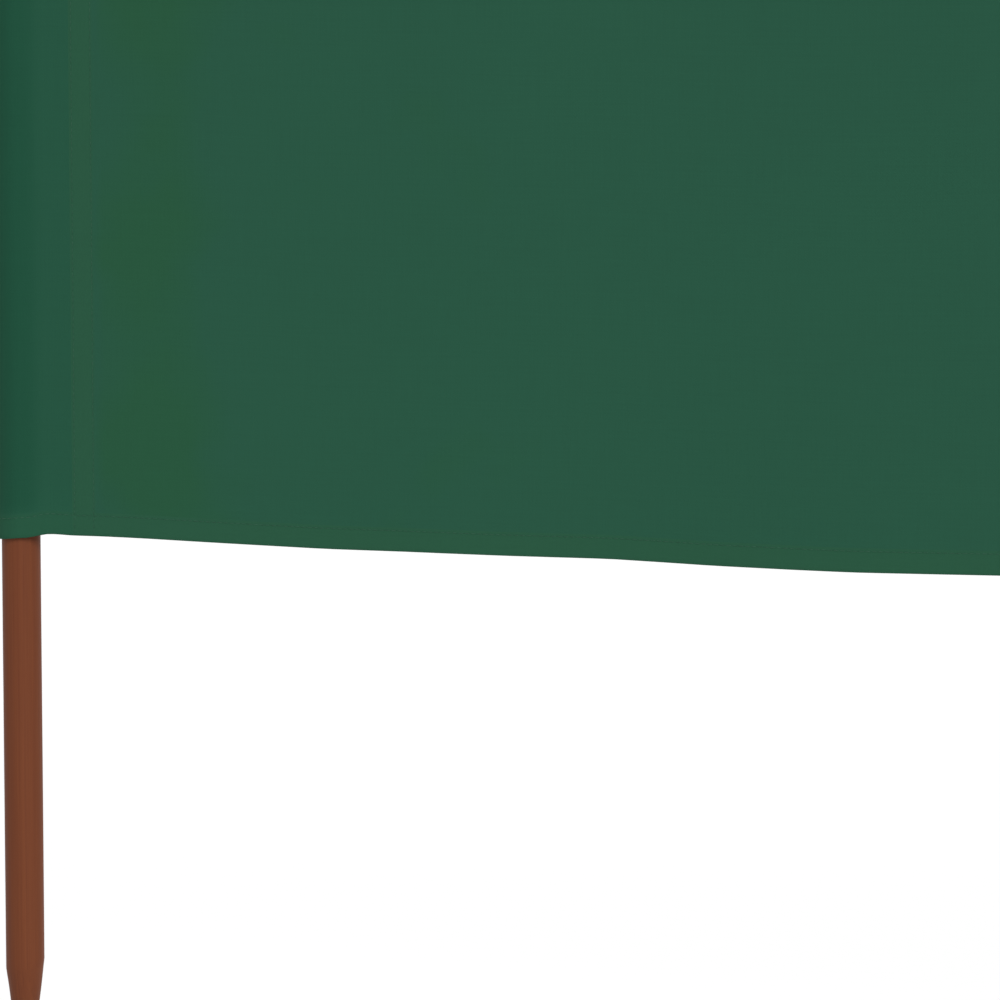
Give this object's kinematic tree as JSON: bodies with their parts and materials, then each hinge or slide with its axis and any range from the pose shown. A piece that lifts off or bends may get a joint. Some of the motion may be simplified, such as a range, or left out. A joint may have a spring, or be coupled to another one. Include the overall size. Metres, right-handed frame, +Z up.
{
  "type": "beach windbreak",
  "caption": "Staked cloth windscreen: plain green cloth in straight bays between pointed round wooden poles that pass through sewn sleeves.",
  "frame": {"origin": "middle of the flat tip of pole 1, the end pole at the left seen from the front", "axes": "+X along the run of bays, +Y to the back of the cloth, +Z up"},
  "size_m": [5.7355, 0.4, 1.6],
  "materials": {
    "cloth": "matte",
    "wood": "satin"
  },
  "bodies": {
    "root": {"pole_1": "wood", "sleeve_1": "cloth", "pole_2": "wood", "sleeve_2": "cloth", "pole_3": "wood", "sleeve_3": "cloth", "pole_4": "wood", "sleeve_4": "cloth", "pole_5": "wood", "sleeve_5": "cloth", "pole_6": "wood", "sleeve_6": "cloth", "panel_1": "cloth", "bottom_hem_1": "cloth", "top_hem_1": "cloth", "panel_2": "cloth", "bottom_hem_2": "cloth", "top_hem_2": "cloth", "panel_3": "cloth", "bottom_hem_3": "cloth", "top_hem_3": "cloth", "panel_4": "cloth", "bottom_hem_4": "cloth", "top_hem_4": "cloth", "panel_5": "cloth", "bottom_hem_5": "cloth", "top_hem_5": "cloth"}
  },
  "joints": []
}
